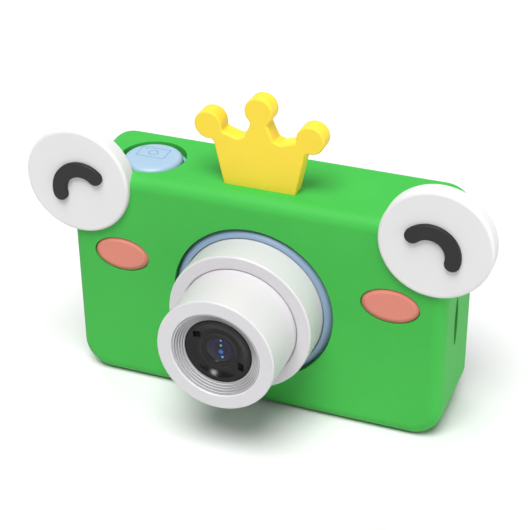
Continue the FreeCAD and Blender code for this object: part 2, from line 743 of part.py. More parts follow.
def outer_barrel():
    """The wide first stage of the lens, screwed on from inside the case."""
    profile = [
        ("inner_barrel_radius + fit_gap / 3", "-outer_barrel_front"), ("outer_barrel_radius", "-outer_barrel_front"),
        ("outer_barrel_radius", "sleeve_wall"), ("barrel_flange_radius + fit_gap / 3", "sleeve_wall"),
        ("barrel_flange_radius + fit_gap / 3", "-barrel_flange_front"),
        ("inner_barrel_radius + fit_gap / 3", "-barrel_flange_front"),
    ]
    body = turned("outer_barrel_body", profile)
    round_rim(body, "barrel_round", "Y", f"{FRONT} - outer_barrel_front")
    drills = [rod(f"barrel_thread_{number}", "screw_radius", "barrel_screw_bite", x, "sleeve_wall - barrel_screw_bite",
                  rise) for number, (x, rise) in enumerate(BARREL_SCREWS)]
    return keep("lens_outer_barrel", cut("outer_barrel_cut", body, drills))


def inner_barrel():
    """The long second stage, with a stepped mouth and a ledge for the black front plate."""
    mouth, plate = "-lens_reach", "(lens_plate_sunk - lens_reach)"
    seat = f"({plate} + lens_plate_thick)"
    ledge = f"({seat} + lens_ledge_thick)"
    steps = []
    step_out = "(lens_mouth_radius - lens_plate_radius) / baffle_steps"
    step_up = "lens_plate_sunk / baffle_steps"
    for number in range(int(SIZES["baffle_steps"])):
        radius = f"lens_plate_radius + {number + 1} * {step_out}"
        low = f"{plate} - {number} * {step_up}"
        steps.append((f"{radius} - baffle_groove", low))
        steps.append((f"{radius} - baffle_groove", f"{low} + baffle_groove_deep"))
        steps.append((radius, f"{low} + baffle_groove_deep"))
        steps.append((radius, f"{plate} - {number + 1} * {step_up}"))
    profile = [
        ("inner_barrel_radius", mouth), ("inner_barrel_radius", "-barrel_flange_front"),
        ("barrel_flange_radius", "-barrel_flange_front"), ("barrel_flange_radius", "sleeve_wall"),
        ("inner_barrel_bore", "sleeve_wall"), ("inner_barrel_bore", ledge),
        ("lens_ledge_radius", ledge), ("lens_ledge_radius", seat), ("lens_plate_radius", seat),
        ("lens_plate_radius", plate),
    ] + steps
    body = turned("inner_barrel_body", profile)
    round_rim(body, "mouth_round", "Y", f"{FRONT} - lens_reach")
    bosses = [rod(f"sensor_boss_{side}", "sensor_post_radius", f"sensor_board_depth - {ledge}",
                  f"{side} * sensor_post_x", ledge, "0") for side in ("-1", "1")]
    drills = [rod(f"sensor_drill_{side}", "screw_radius", "sensor_screw_length", f"{side} * sensor_post_x",
                  "sensor_board_depth + sensor_board_thick - sensor_screw_length", "0")
              for side in ("-1", "1")]
    return keep("lens_inner_barrel", cut("inner_barrel_cut", fuse("inner_barrel_solid", [body] + bosses), drills))


def lens_plate():
    """The black plate in the mouth of the lens, with a bore for the glass and two small windows."""
    disc = rod("plate_disc", "lens_plate_radius", "lens_plate_thick", "0", PLATE_FRONT, "0")
    holes = [rod("plate_bore", "lens_glass_radius + fit_gap", "lens_plate_thick", "0", PLATE_FRONT, "0")]
    for side in ("-1", "1"):
        holes.append(block(f"plate_window_{side}", "plate_window_width", "lens_plate_thick", "plate_window_width",
                           f"{side} * plate_window_x", PLATE_FRONT, f"-({side}) * plate_window_rise"))
    return keep("lens_plate", cut("plate_cut", disc, holes))


def lens_element(node, edge_depth):
    """A round lens, domed at the front and flat behind."""
    ball = "((lens_glass_radius ^ 2 + lens_glass_bulge ^ 2) / (2 * lens_glass_bulge))"
    back = f"{edge_depth} + lens_glass_thick - lens_glass_bulge"
    return keep(node, turned(node + "_body", [
        ("0", f"{edge_depth} - lens_glass_bulge"), ("0", back), ("lens_glass_radius", back),
        ("lens_glass_radius", edge_depth, f"-{ball}"),
    ]))


def lens_cell():
    """The black tube that holds both lenses."""
    tube = rod("cell_tube", "lens_cell_radius", "lens_cell_length", "0", CELL_FRONT, "0")
    bore = rod("cell_bore", "lens_glass_radius", "lens_cell_length", "0", CELL_FRONT, "0")
    return keep("lens_cell", cut("cell_cut", tube, [bore]))


def sensor_stack():
    """Holder, image sensor and small board, screwed to two bosses inside the lens barrel."""
    front = f"({CELL_FRONT} + holder_setback)"
    body_length = f"(sensor_board_depth - {front})"
    hollow_front = "(sensor_board_depth - holder_hollow_deep)"
    holder = block("holder_box", "holder_width", body_length, "holder_width", "0", front, "0")
    hollow = block("holder_hollow", "holder_hollow_width", "holder_hollow_deep", "holder_hollow_width", "0",
                   hollow_front, "0")
    throat = rod("holder_bore", "lens_cell_radius", f"{body_length} - holder_hollow_deep", "0", front, "0")
    keep("sensor_holder", cut("holder_cut", holder, [hollow, throat]))
    keep("image_sensor", block("sensor_chip", "sensor_width", "sensor_thick", "sensor_height", "0",
                               "sensor_board_depth - sensor_thick", "0"))
    card = block("sensor_card", "2 * (sensor_post_x + sensor_post_radius)", "sensor_board_thick",
                 "holder_width + sensor_board_thick", "0", "sensor_board_depth", "0")
    holes = [rod(f"sensor_hole_{side}", "screw_radius", "sensor_board_thick", f"{side} * sensor_post_x",
                 "sensor_board_depth", "0") for side in ("-1", "1")]
    keep("sensor_board", cut("sensor_card_cut", card, holes))
    screws = [screw(f"sensor_screw_{side}", f"{side} * sensor_post_x", "0",
                    "(sensor_board_depth + sensor_board_thick)", "sensor_screw_length") for side in ("-1", "1")]
    keep("sensor_screws", group("sensor_screw_set", screws))


def sensor_flex():
    """A ribbon from the sensor board, back through the barrel and down the main board."""
    start = "(sensor_board_depth + sensor_board_thick)"
    top, under = "sensor_flex_rise", "(sensor_flex_rise - flex_thick)"
    turn = "(board_front - sensor_flex_bend)"
    low = "(sensor_flex_rise - sensor_flex_bend)"
    inner = "(sensor_flex_bend - flex_thick)"
    body = plate("sensor_flex_body", "YZ_Plane", "-sensor_flex_width / 2", "sensor_flex_width", False, outline, [
        (start, top), (turn, top, "-sensor_flex_bend"), ("board_front", low), ("board_front", "sensor_flex_end"),
        ("board_front - flex_thick", "sensor_flex_end"), ("board_front - flex_thick", low, inner),
        (turn, under), (start, under),
    ])
    return keep("sensor_flex_cable", body)


def barrel_screws():
    """Three screws, driven from inside the case, hold both stages of the lens."""
    screws = [screw(f"barrel_screw_{number}", x, rise, CASE_INSIDE, "(shell_wall + barrel_screw_bite)")
              for number, (x, rise) in enumerate(BARREL_SCREWS)]
    return keep("barrel_screws", group("barrel_screw_set", screws))


# ---- controls -----------------------------------------------------------------------------
def shutter():
    """The big round button on top, the plunger under its stem and the switch that it presses."""
    flange_top = f"({CASE_HEIGHT} / 2 - shell_wall - fit_gap)"
    flange_low = f"({flange_top} - shutter_flange_high)"
    top = f"({MIDDLE} + shutter_top_proud)"
    cap = post("shutter_cap", "shutter_radius", f"{top} - {flange_top}", "shutter_x", "shutter_depth", flange_top)
    dome = soften("shutter_dome", cap, "shutter_round", "Z", f"{MIDDLE} + {top}")
    flange = block("shutter_flange", "shutter_flange_width", "shutter_flange_deep", "shutter_flange_high",
                   "shutter_x + shutter_flange_shift", "shutter_depth - shutter_flange_deep / 2",
                   f"({flange_top} + {flange_low}) / 2")
    stem = post("shutter_stem", "plunger_radius", f"{flange_low} - shutter_stem_rise", "shutter_x",
                "shutter_stem_depth", "shutter_stem_rise")
    keep("shutter_button", fuse("shutter_fused", [dome, flange, stem]))
    keep("shutter_plunger", post("shutter_pin", "plunger_radius", "shutter_pin_long", "shutter_x",
                                 "shutter_stem_depth", "shutter_stem_rise - shutter_pin_long"))
    case = block("shutter_switch_case", "switch_size", "shutter_switch_deep", "shutter_switch_high", "shutter_x",
                 "board_front - shutter_switch_deep", "shutter_switch_rise + shutter_switch_high / 2")
    bore = post("shutter_switch_bore", "plunger_radius + fit_gap", "switch_bore_deep", "shutter_x",
                "shutter_stem_depth", "shutter_switch_rise + shutter_switch_high - switch_bore_deep")
    keep("shutter_switch", cut("shutter_switch_cut", case, [bore]))


def key(name, x, rise, radius):
    """One key on the back: a cap that stands out of the cover, a flange that stops it and a stem."""
    flange_back = f"({COVER_INSIDE} - fit_gap)"
    flange_front = f"({flange_back} - key_flange_thick)"
    switch_top = f"({BOARD_BACK} + switch_top)"
    cap_back = f"({CASE_BACK} + key_proud)"
    cap = rod(name + "_cap", radius, f"{cap_back} - {flange_front}", x, flange_front, rise)
    dome = soften(name + "_dome", cap, "key_round", "Y", f"{FRONT} + {cap_back}")
    flange = rod(name + "_flange", f"{radius} + key_flange", "key_flange_thick", x, flange_front, rise)
    stem = rod(name + "_stem", "key_stem_radius", f"{flange_front} - {switch_top}", x, switch_top, rise)
    keep(name + "_button", fuse(name + "_fused", [dome, flange, stem]))
    keep(name + "_plunger", rod(name + "_pin", "plunger_radius", "plunger_length", x,
                                f"{switch_top} - plunger_length", rise))


def key_switch(name, x, rise):
    """The fixed housing of one key's switch, with a bore that its plunger slides in."""
    case = block(name + "_switch_case", "switch_size", "switch_high", "switch_size", x, BOARD_BACK, rise)
    bore = rod(name + "_switch_bore", "plunger_radius + fit_gap", "switch_bore_deep", x,
               f"{BOARD_BACK} + switch_high - switch_bore_deep", rise)
    return cut(name + "_switch", case, [bore])


def keypad():
    """Seven keys with their plungers, and the row of equal switch housings on the main board."""
    switches = []
    for name, (x, rise, radius) in KEYS.items():
        key(name, x, rise, radius)
        switches.append(key_switch(name, x, rise))
    keep("key_switches", group("key_switch_set", switches))


# ---- display and electronics --------------------------------------------------------------
def display():
    """Clear window, display panel behind it and the ribbon that folds round to the main board."""
    window = face_plate("window_body", f"{CASE_BACK} - window_thick", "window_thick", rounded_rectangle,
                        "window_width", "window_height", "window_corner", "display_x", "0")
    keep("display_window", window)
    front = f"({COVER_INSIDE} - panel_thick)"
    keep("display_panel", block("panel_box", "panel_width", "panel_thick", "panel_height", "display_x", front, "0"))
    outer_back, inner_back = f"({front} + 2 * flex_thick)", f"({front} + flex_thick)"
    outer = f"(({outer_back} - {BOARD_BACK}) / 2)"
    inner = f"({outer} - flex_thick)"
    centre = f"({BOARD_BACK} + {outer})"
    low, end = "display_flex_low", "display_flex_end"
    body = plate("display_flex_body", "YZ_Plane", "display_x - display_flex_width / 2", "display_flex_width",
                 False, outline, [
                     (outer_back, "-panel_height / 2"), (outer_back, low, f"-{outer}"),
                     (centre, f"{low} - {outer}", f"-{outer}"), (BOARD_BACK, low), (BOARD_BACK, end),
                     (f"{BOARD_BACK} + flex_thick", end), (f"{BOARD_BACK} + flex_thick", low, inner),
                     (centre, f"{low} - {inner}", inner), (inner_back, low), (inner_back, "-panel_height / 2"),
                 ])
    keep("display_flex_cable", body)


def main_board():
    """The circuit board, notched round the case bosses and screwed to four posts."""
    card = block("board_card", "board_width", "board_thick", "board_height", "0", "board_front", "0")
    dip = block("board_dip", "shutter_flange_width + 2 * board_dip_room", "board_thick", "2 * board_dip_room",
                "shutter_x + shutter_flange_shift", "board_front", "board_height / 2")
    notches = [rod(f"board_notch_{number}", "board_notch_radius", "board_thick", f"{x} * case_screw_x",
                   "board_front", f"{rise} * case_screw_rise") for number, (x, rise) in enumerate(CORNERS)]
    holes = [rod(f"board_hole_{number}", "screw_radius", "board_thick", x, "board_front", rise)
             for number, (x, rise) in enumerate(BOARD_SCREWS)]
    keep("main_board", cut("board_cut", card, [dip] + notches + holes))
    keep("processor_chip", block("chip_box", "chip_size", "chip_thick", "chip_size", "chip_x",
                                 "board_front - chip_thick", "chip_rise"))
    screws = [screw(f"board_screw_{number}", x, rise, BOARD_BACK, "board_screw_length")
              for number, (x, rise) in enumerate(BOARD_SCREWS)]
    keep("board_screws", group("board_screw_set", screws))


def battery():
    """A flat pouch cell beside the lens and its two leads."""
    cell = plate("battery_body", "XZ_Plane", f"-{CASE_INSIDE}", "battery_thick", True, rounded_rectangle,
                 "battery_width", "battery_height", "battery_round", "battery_x", "0")
    keep("battery", cell)
    leads = [lead(f"battery_lead_{side}", f"battery_x + {side} * lead_spacing") for side in ("-1", "1")]
    keep("battery_leads", group("battery_lead_set", leads))


def lead(name, x):
    """A wire that climbs from the battery's top edge and bends back to the main board."""
    start_depth = f"({CASE_INSIDE} + battery_thick / 2)"
    bend, climb = size("lead_bend"), size("lead_climb")
    reach = size(f"board_front - {start_depth}")
    corner = FreeCAD.Vector(0, bend, climb - bend)
    middle = corner + FreeCAD.Vector(0, -bend * math.cos(math.radians(45)), bend * math.sin(math.radians(45)))
    path = Part.Wire([
        Part.LineSegment(FreeCAD.Vector(0, 0, 0), FreeCAD.Vector(0, 0, climb - bend)).toShape(),
        Part.Arc(FreeCAD.Vector(0, 0, climb - bend), middle, FreeCAD.Vector(0, bend, climb)).toShape(),
        Part.LineSegment(FreeCAD.Vector(0, bend, climb), FreeCAD.Vector(0, reach, climb)).toShape(),
    ])
    ring = Part.Wire([Part.Circle(FreeCAD.Vector(0, 0, 0), FreeCAD.Vector(0, 0, 1), size("lead_radius")).toShape()])
    wire = doc.addObject("Part::Feature", name)
    wire.Shape = path.makePipeShell([ring], True, True)
    place(wire, x, start_depth, "battery_height / 2")
    return wire


def sound():
    """Speaker and microphone on the inside of the cover, the speaker's leads and the status light."""
    speaker_front = f"({COVER_INSIDE} - speaker_thick)"
    keep("speaker", block("speaker_box", "speaker_width", "speaker_thick", "speaker_height", "keys_x",
                          speaker_front, "speaker_rise"))
    leads = [rod(f"speaker_lead_{side}", "lead_radius", f"{speaker_front} - {BOARD_BACK}",
                 f"keys_x + {side} * lead_spacing", BOARD_BACK, "speaker_rise") for side in ("-1", "1")]
    keep("speaker_leads", group("speaker_lead_set", leads))
    keep("microphone", rod("microphone_can", "microphone_radius", "microphone_thick", "microphone_x",
                           f"{COVER_INSIDE} - microphone_thick", "microphone_rise"))
    keep("status_light", rod("light_pipe", "light_radius", "light_length", "keys_x",
                             f"{CASE_BACK} - light_length", "top_key_rise"))


def card_and_socket():
    """A memory card, sunk a little below the case wall, in its metal socket."""
    outer_end = f"({CASE_WIDTH} / 2 - card_sunk)"
    inner_end = f"({outer_end} - card_length)"
    front = "(card_slot_depth - card_thick / 2)"
    low, high = "(card_slot_rise - card_width / 2)", "(card_slot_rise + card_width / 2)"
    body = face_plate("card_body", front, "card_thick", outline, [
        (inner_end, low), (outer_end, low), (outer_end, high),
        (f"{inner_end} + card_step_long + card_step", high), (f"{inner_end} + card_step_long", f"{high} - card_step"),
        (inner_end, f"{high} - card_step"),
    ])
    keep("memory_card", body)
    mouth = f"({CASE_WIDTH} / 2 - shell_wall)"
    cover_front = f"({front} - 2 * card_play - usb_wall)"
    case = block("card_socket_box", "socket_length", f"board_front - {cover_front}", "socket_height",
                 f"{mouth} - socket_length / 2", cover_front, "card_slot_rise")
    room = block("card_room", "socket_length - usb_wall", "card_thick + 2 * card_play", "card_width + 2 * card_play",
                 f"{mouth} - (socket_length - usb_wall) / 2", f"{front} - card_play", "card_slot_rise")
    keep("card_socket", cut("card_socket_cut", case, [room]))


def usb_socket():
    """The charging socket: a rounded metal shell round a thin tongue."""
    mouth = f"(usb_sunk - {CASE_WIDTH} / 2)"
    centre = "board_front - usb_high / 2"
    body = plate("usb_body", "YZ_Plane", mouth, "usb_length", False, rounded_rectangle,
                 "usb_high", "usb_width", "usb_corner", centre, "usb_rise")
    pocket(body, "YZ_Plane", mouth, "usb_length - usb_wall", True, rounded_rectangle, "usb_high - 2 * usb_wall",
           "usb_width - 2 * usb_wall", "usb_corner - usb_wall", centre, "usb_rise")
    tongue = block("usb_tongue", "usb_tongue_length", "usb_tongue_thick", "usb_tongue_width",
                   f"{mouth} + usb_length - usb_wall - usb_tongue_length / 2",
                   f"{centre} - usb_tongue_thick / 2", "usb_rise")
    keep("usb_socket", fuse("usb_fused", [body, tongue]))


# ---- build and export ---------------------------------------------------------------------
def build():
    """Make every piece of the camera."""
    arcs = {side: eye_arc(side, name + "_eye_arc") for side, name in SIDES.items()}
    relief = face_plate("eye_relief", "sleeve_wall - eye_skin", "eye_thick", rounded_rectangle,
                        f"{CASE_WIDTH} + 2 * eye_skin", f"{CASE_HEIGHT} + 2 * eye_skin", "case_corner + eye_skin")
    eyes = [eye(side, name + "_eye", arcs[side], relief) for side, name in SIDES.items()]
    for side, name in SIDES.items():
        cheek(side, name + "_cheek")
    crown()
    sleeve(eyes)
    front_shell()
    rear_shell()
    case_screws()
    trim_ring()
    outer_barrel()
    inner_barrel()
    barrel_screws()
    lens_plate()
    lens_element("front_lens", f"({PLATE_FRONT} + lens_glass_bulge / 2)")
    lens_element("rear_lens", f"({CELL_FRONT} + lens_gap)")
    lens_cell()
    sensor_stack()
    sensor_flex()
    shutter()
    keypad()
    display()
    main_board()
    battery()
    sound()
    card_and_socket()
    usb_socket()


def check():
    """Stop if any object failed, or any piece is not a valid solid."""
    for thing in doc.Objects:
        if "Invalid" in thing.State or "Error" in thing.State:
            raise ValueError(f"{thing.Name} failed: {thing.State}")
    for node, thing in nodes.items():
        if thing.Shape.isNull() or not thing.Shape.isValid() or not thing.Shape.Solids:
            raise ValueError(f"{node} is not a valid solid")


def export():
    """Write one STEP file for each piece."""
    os.makedirs("parts", exist_ok=True)
    for node, thing in nodes.items():
        thing.Shape.exportStep(os.path.join("parts", f"{node}.step"))


fill_sheet()
build()
doc.recompute()
check()
export()
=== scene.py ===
# Looks of the kids' digital camera: a material for every piece, the fine surface pieces that
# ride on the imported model, and the floor, the soft studio light and the viewpoint.
# Everything is in metres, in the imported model's own frame.
import bpy
import bmesh
import json
import math
from mathutils import Matrix, Vector


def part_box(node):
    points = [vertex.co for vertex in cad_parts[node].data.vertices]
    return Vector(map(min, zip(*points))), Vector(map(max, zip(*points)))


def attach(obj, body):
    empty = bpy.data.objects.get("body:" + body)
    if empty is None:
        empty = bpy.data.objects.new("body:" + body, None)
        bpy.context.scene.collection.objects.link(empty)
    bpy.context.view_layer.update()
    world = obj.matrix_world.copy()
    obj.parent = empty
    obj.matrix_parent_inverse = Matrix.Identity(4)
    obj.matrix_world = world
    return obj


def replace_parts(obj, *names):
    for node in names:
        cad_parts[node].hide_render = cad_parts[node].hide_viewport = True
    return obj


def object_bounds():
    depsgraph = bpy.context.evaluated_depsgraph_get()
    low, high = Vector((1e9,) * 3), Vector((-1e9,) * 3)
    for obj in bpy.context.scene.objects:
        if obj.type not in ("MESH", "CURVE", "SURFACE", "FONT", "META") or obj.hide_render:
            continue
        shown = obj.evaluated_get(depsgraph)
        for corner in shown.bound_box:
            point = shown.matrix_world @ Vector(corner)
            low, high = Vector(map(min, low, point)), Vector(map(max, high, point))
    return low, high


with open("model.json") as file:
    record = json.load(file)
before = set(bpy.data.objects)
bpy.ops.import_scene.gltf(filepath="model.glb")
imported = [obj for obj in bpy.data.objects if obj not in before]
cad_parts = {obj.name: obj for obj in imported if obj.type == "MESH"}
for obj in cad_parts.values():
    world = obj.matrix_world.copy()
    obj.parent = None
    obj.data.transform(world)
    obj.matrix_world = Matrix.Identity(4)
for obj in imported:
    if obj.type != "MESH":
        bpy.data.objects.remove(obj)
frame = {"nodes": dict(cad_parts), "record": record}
nodes = frame["nodes"]
cad_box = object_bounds()

MM = 0.001
RIGHT, LEFT, UP, BACK = Vector((1, 0, 0)), Vector((-1, 0, 0)), Vector((0, 0, 1)), Vector((0, 1, 0))

# ---- sizes of the fine pieces, in millimetres ---------------------------------------------
# how far an edge is broken, and the radius of the raised lines that draw a sign
SOFT = 0.06
LINE = 0.13

# the black dish in the mouth of the lens: outer and inner radius of its bevel, how far its hub and
# its lip are sunk, the groove inside its edge (from, to and how deep), and the fine ring on its hub
# (outer and inner radius, height)
DISH_BEVEL = (6.50, 5.20)
DISH_SUNK, DISH_LIP = 0.62, 0.02
DISH_GROOVE = (0.05, 0.28, 0.50)
DISH_RING = (4.22, 3.88, 0.04)

# the two windows in the dish: the place of one from its middle, the size of the hole (across, deep,
# high), and how far back the near-black pad in it lies and how thick it is
WINDOW_AT, WINDOW_SIZE = (4.9, 3.05), (1.4, 1.5, 1.6)
PAD_DEPTH, PAD_RISE = 0.60, 0.12

# the front lens: its radius, how far it is domed, how deep it goes and how far its edge is sunk in the
# hub; then the painted reflections of lights on it, as (x, height, radius, colour) from its middle, and
# the painted purple reflection halo round its middle
LENS_RADIUS, LENS_BULGE, LENS_BACK, LENS_SUNK = 3.0, 0.42, 1.1, 0.10
PAINTED_REFLECTION_SPOTS = [
    (0.41, 2.42, 0.26, (0.20, 0.36, 0.38)),
    (0.49, 1.37, 0.36, (0.12, 0.34, 0.52)),
    (0.52, -0.15, 0.72, (0.035, 0.12, 0.42)),
    (0.76, -1.50, 0.36, (0.18, 0.50, 0.58)),
]
# the painted purple reflection ring round the lens's middle: its middle, radius, width and colour
PAINTED_HALO_AT, PAINTED_HALO_RADIUS, PAINTED_HALO_WIDTH, PAINTED_HALO_COLOUR = (0.35, 0.45), 1.95, 0.75, (0.012, 0.008, 0.075)

# the collar round the lens: its inner and outer radius, how far behind the sleeve's face it lies at
# each (below 0 is in front), its broken inner edge (across, down), its back, and how late it falls
# away (1 is evenly)
RING_RADII, RING_DEPTHS, RING_EDGE = (16.45, 18.45), (-0.22, 1.60), (0.12, 0.15)
RING_BACK, RING_FALL = 1.95, 1.6

# the stepped mouth of the lens: its radius, and the grey rings of painted shade at the roots of its
# steps (how many, how wide)
MOUTH_RADIUS, STEP_SHADE_RINGS, STEP_SHADE_WIDTH = 9.85, 5, 0.12

# the arches on the eyes and the cheeks, placed from the lens axis; their rounded sections are
# (how far in from the outline, how far in front of the eye's or the cheek's own face)
ARCH_AT, ARCH_RADIUS, ARCH_HALF, ARCH_ANGLES = (39.03, 21.5), 5.17, 1.68, (-13.3, 132.7)
ARCH_SECTION = [
    (0.0, -0.2), (0.0, 0.70), (0.04, 0.79), (0.12, 0.85), (0.24, 0.87), (0.40, 0.88), (0.60, 0.88),
]
CHEEK_AT, CHEEK_HALF = (31.0, 6.4), (6.4, 4.05)
CHEEK_SECTION = [(0.0, -1.0), (0.0, -0.42), (0.06, -0.32), (0.90, -0.03), (0.96, 0.0), (1.12, 0.0)]

# the sign on the shutter button: its middle from the sleeve's face, its frame, the radius of its
# lens, and its small mark (from and to along the frame, and how far down)
SIGN_AT, SIGN_SIZE, SIGN_SUNK, SIGN_LENS = (-27.9, 12.15), (6.6, 4.2), 0.04, 1.05
SIGN_MARK = (0.6, 1.6, 0.75)

# the signs on the keys: the power sign is an arc (radius, from and to in degrees) and a stroke
KEY_SIGN_RISE, KEY_SIGN_SUNK = 0.10, 0.03
ARROW = [(-0.75, -0.45), (0.75, -0.45), (0.0, 0.85)]
POWER_ARC, POWER_STROKE = (0.85, 125, 415), (0.25, 1.15)
MENU_HALF, MENU_STEP = 0.85, 0.6
OK_RADII = (1.35, 0.35)

# the clear part of the screen's window with the black print round it, and the socket's tongue
ACTIVE_SIZE, ACTIVE_CORNER = (40.8, 30.6), 0.6
BORDER_MARGIN, BORDER_CORNER, BORDER_DEPTHS = 0.1, 1.9, (0.06, 0.10)
TONGUE_SIZE, TONGUE_BACK = (4.7, 0.8, 6.8), 0.3

# how finely curves are drawn, in steps or rows
TURN_STEPS, CIRCLE_STEPS, CHEEK_STEPS, ARC_STEPS, END_STEPS, CORNER_STEPS = 128, 48, 96, 40, 16, 8
LENS_ROWS, RING_ROWS = 16, 10

# edges sharper than this many degrees stay crisp: on most pieces, on lofted pads, and on beads
CRISP, CRISP_PAD, CRISP_BEAD = 35, 50, 60

# nodes whose own finish differs from their slot's
FINISH_OF = {"rear_lens": "inner_glass", "microphone": "black_plastic"}

# ---- viewpoint and light ------------------------------------------------------------------
VIEW_AZIMUTH, VIEW_ELEVATION, VIEW_ROLL = 22.108, 32.376, -0.905
VIEW_DISTANCE, VIEW_LENS, VIEW_SENSOR = 0.336383, 105.04, 36.0
VIEW_SHIFT = (0.0239, 0.0752)
VIEW_CLIP = (0.01, 20.0)
FLOOR_SIZE, FLOOR_COLOUR = 40.0, (0.68, 0.68, 0.68)
WORLD_LOW, WORLD_HIGH, WORLD_STRENGTH = (0.85, 0.85, 0.86), (1.0, 1.0, 1.0), 0.14
LIGHTS = {
    # name: (how much it lights what faces +X, +Y and +Z, its width in degrees)
    "key_light": ((0.06, -0.53, 1.22), 38),
    "side_light": ((0.72, -0.02, 0.0), 60),
    "back_light": ((-0.25, 0.40, 0.20), 60),
    "catch_light": ((-0.028, -0.15, 0.02), 9),
}
# lights that show in reflections, and lights that show nowhere else
SHINING, ONLY_SHINING = ("key_light", "side_light", "catch_light"), ("catch_light",)

# the grain and the patches of a moulded surface: the detail of their noise, between which values of
# the noise the colour turns, and how high the grain stands in millimetres
GRAIN_DETAIL, PATCH_DETAIL = 3.0, 2.0
PATCH_TURN = (0.3, 0.7)
GRAIN_HEIGHT = 0.1
# each painted reflection spot, and the painted halo, has its full colour within its reach divided by
# this
SPOT_CORE = 3


def basis(azimuth, elevation, roll):
    """Right, up and back of a viewpoint that turns round the object, in degrees."""
    turn, lift, tilt = math.radians(azimuth), math.radians(elevation), math.radians(roll)
    back = Vector((math.sin(turn) * math.cos(lift), -math.cos(turn) * math.cos(lift), math.sin(lift)))
    level = Vector((math.cos(turn), math.sin(turn), 0))
    over = back.cross(level)
    right = level * math.cos(tilt) + over * math.sin(tilt)
    up = over * math.cos(tilt) - level * math.sin(tilt)
    return right, up, back


def make_camera():
    """The viewpoint, held at a fixed distance from the middle of the sleeve's front face."""
    low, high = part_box("silicone_sleeve")
    centre = Vector(((low.x + high.x) / 2, low.y, (low.z + high.z) / 2))
    right, up, back = basis(VIEW_AZIMUTH, VIEW_ELEVATION, VIEW_ROLL)
    data = bpy.data.cameras.new("viewpoint")
    data.lens = VIEW_LENS
    data.sensor_width = VIEW_SENSOR
    data.shift_x, data.shift_y = VIEW_SHIFT
    data.clip_start, data.clip_end = VIEW_CLIP
    camera = bpy.data.objects.new("viewpoint", data)
    turned = Matrix((right, up, back)).transposed().to_4x4()
    camera.matrix_world = Matrix.Translation(centre + back * VIEW_DISTANCE) @ turned
    bpy.context.scene.collection.objects.link(camera)
    bpy.context.scene.camera = camera


def make_light(name, reach, width):
    """A wide, far light, as from a large softbox.

    A white surface that faces the light gives back the length of its reach."""
    data = bpy.data.lights.new(name, "SUN")
    data.angle = math.radians(width)
    data.energy = math.pi * Vector(reach).length
    light = bpy.data.objects.new(name, data)
    light.rotation_mode = "QUATERNION"
    light.rotation_quaternion = (-Vector(reach)).to_track_quat("-Z", "Y")
    light.visible_glossy = name in SHINING
    light.visible_diffuse = name not in ONLY_SHINING
    bpy.context.scene.collection.objects.link(light)


def make_world():
    """A pale surround, a little brighter overhead than at the horizon."""
    world = bpy.data.worlds.new("studio")
    world.use_nodes = True
    tree = world.node_tree
    background = tree.nodes["Background"]
    background.inputs["Strength"].default_value = WORLD_STRENGTH
    where = tree.nodes.new("ShaderNodeTexCoord")
    split = tree.nodes.new("ShaderNodeSeparateXYZ")
    ramp = tree.nodes.new("ShaderNodeValToRGB")
    ramp.color_ramp.elements[0].color = (*WORLD_LOW, 1)
    ramp.color_ramp.elements[1].color = (*WORLD_HIGH, 1)
    tree.links.new(where.outputs["Generated"], split.inputs[0])
    tree.links.new(split.outputs["Z"], ramp.inputs[0])
    tree.links.new(ramp.outputs["Color"], background.inputs["Color"])
    bpy.context.scene.world = world


def make_floor():
    """The plain pale surface that the camera stands on."""
    mesh = bpy.data.meshes.new("floor")
    half = FLOOR_SIZE / 2
    level = cad_box[0].z
    corners = [(-half, -half, level), (half, -half, level), (half, half, level), (-half, half, level)]
    mesh.from_pydata(corners, [], [(0, 1, 2, 3)])
    floor = bpy.data.objects.new("floor", mesh)
    bpy.context.scene.collection.objects.link(floor)
    paper = surface("floor_paper", FLOOR_COLOUR, 0.85, grain=900, depth=0.02, mottle=0.004)
    mesh.materials.append(paper)


# ---- materials ----------------------------------------------------------------------------
def surface(name, colour, roughness, grain=3500, depth=0.12, patch=55, mottle=0.03, spread=0.06,
            **sockets):
    """A moulded surface: fine grain in the bump and the gloss, and soft patches in the colour.

    grain and patch are noise cells per metre, depth is the strength of the bump, mottle is how far
    the colour strays either way and spread how far the roughness does. Each of sockets is set on the
    shader, with its name's spaces written as underscores."""
    material = bpy.data.materials.new(name)
    material.use_nodes = True
    tree = material.node_tree
    shader = tree.nodes["Principled BSDF"]
    where = tree.nodes.new("ShaderNodeTexCoord")
    fine = noise(tree, where, grain, GRAIN_DETAIL)
    broad = noise(tree, where, patch, PATCH_DETAIL)
    tint = tree.nodes.new("ShaderNodeValToRGB")
    darker, lighter = tint.color_ramp.elements
    darker.position, lighter.position = PATCH_TURN
    darker.color = (*[part * (1 - mottle) for part in colour], 1)
    lighter.color = (*[min(1.0, part * (1 + mottle)) for part in colour], 1)
    tree.links.new(broad.outputs["Fac"], tint.inputs["Fac"])
    tree.links.new(tint.outputs["Color"], shader.inputs["Base Color"])
    gloss = tree.nodes.new("ShaderNodeMapRange")
    gloss.inputs["To Min"].default_value = max(0.0, roughness - spread)
    gloss.inputs["To Max"].default_value = min(1.0, roughness + spread)
    tree.links.new(fine.outputs["Fac"], gloss.inputs["Value"])
    tree.links.new(gloss.outputs["Result"], shader.inputs["Roughness"])
    bump = tree.nodes.new("ShaderNodeBump")
    bump.inputs["Strength"].default_value = depth
    bump.inputs["Distance"].default_value = GRAIN_HEIGHT * MM
    tree.links.new(fine.outputs["Fac"], bump.inputs["Height"])
    tree.links.new(bump.outputs["Normal"], shader.inputs["Normal"])
    for socket, number in sockets.items():
        shader.inputs[socket.replace("_", " ")].default_value = number
    return material


